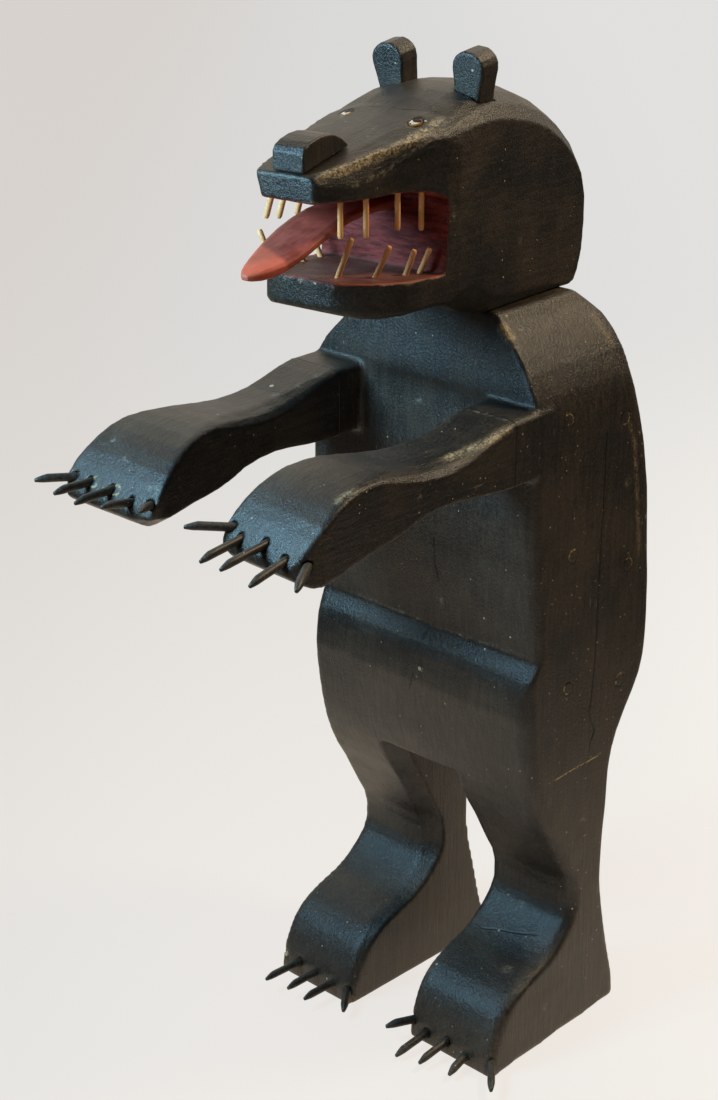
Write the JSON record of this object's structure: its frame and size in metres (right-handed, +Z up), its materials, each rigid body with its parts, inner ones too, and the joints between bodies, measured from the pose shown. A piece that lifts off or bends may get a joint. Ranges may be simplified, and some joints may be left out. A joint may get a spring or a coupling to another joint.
{
  "type": "carved bear figure",
  "caption": "Standing carved wooden bear, forepaws held out, open mouth with tongue and dowel teeth, dowel claws; rests on its flat feet.",
  "frame": {"origin": "on the floor under the middle of the figure's length and width", "axes": "+Z up the figure, -Y the way the bear faces, +X its own left"},
  "size_m": [0.324, 0.49, 0.9265],
  "materials": {
    "black_paint": "black paint, semi-gloss, worn to the wood on its edges",
    "claw_paint": "thin black paint on dowel",
    "tongue_paint": "red paint, satin, worn",
    "bare_wood": "bare light wood",
    "eye_paint": "pale paint with a dark pupil"
  },
  "bodies": {
    "root": {"arm_left": "black_paint", "arm_right": "black_paint", "body": "black_paint", "claw_left_foot_1": "claw_paint", "claw_left_foot_2": "claw_paint", "claw_left_foot_3": "claw_paint", "claw_left_foot_4": "claw_paint", "claw_left_foot_5": "claw_paint", "claw_left_paw_1": "claw_paint", "claw_left_paw_2": "claw_paint", "claw_left_paw_3": "claw_paint", "claw_left_paw_4": "claw_paint", "claw_left_paw_5": "claw_paint", "claw_right_foot_1": "bare_wood", "claw_right_foot_2": "claw_paint", "claw_right_foot_3": "claw_paint", "claw_right_foot_4": "claw_paint", "claw_right_foot_5": "claw_paint", "claw_right_paw_1": "claw_paint", "claw_right_paw_2": "claw_paint", "claw_right_paw_3": "claw_paint", "claw_right_paw_4": "claw_paint", "claw_right_paw_5": "claw_paint", "ear_left": "black_paint", "ear_right": "black_paint", "eye_left": "eye_paint", "eye_right": "eye_paint", "head": "black_paint", "nose": "black_paint", "tongue": "tongue_paint", "tooth_lower_left_1": "bare_wood", "tooth_lower_left_2": "bare_wood", "tooth_lower_left_3": "bare_wood", "tooth_lower_left_4": "bare_wood", "tooth_lower_right_1": "bare_wood", "tooth_lower_right_2": "bare_wood", "tooth_lower_right_3": "bare_wood", "tooth_lower_right_4": "bare_wood", "tooth_upper_left_1": "bare_wood", "tooth_upper_left_2": "bare_wood", "tooth_upper_left_3": "bare_wood", "tooth_upper_left_4": "bare_wood", "tooth_upper_right_1": "bare_wood", "tooth_upper_right_2": "bare_wood", "tooth_upper_right_3": "bare_wood", "tooth_upper_right_4": "bare_wood"}
  },
  "joints": []
}
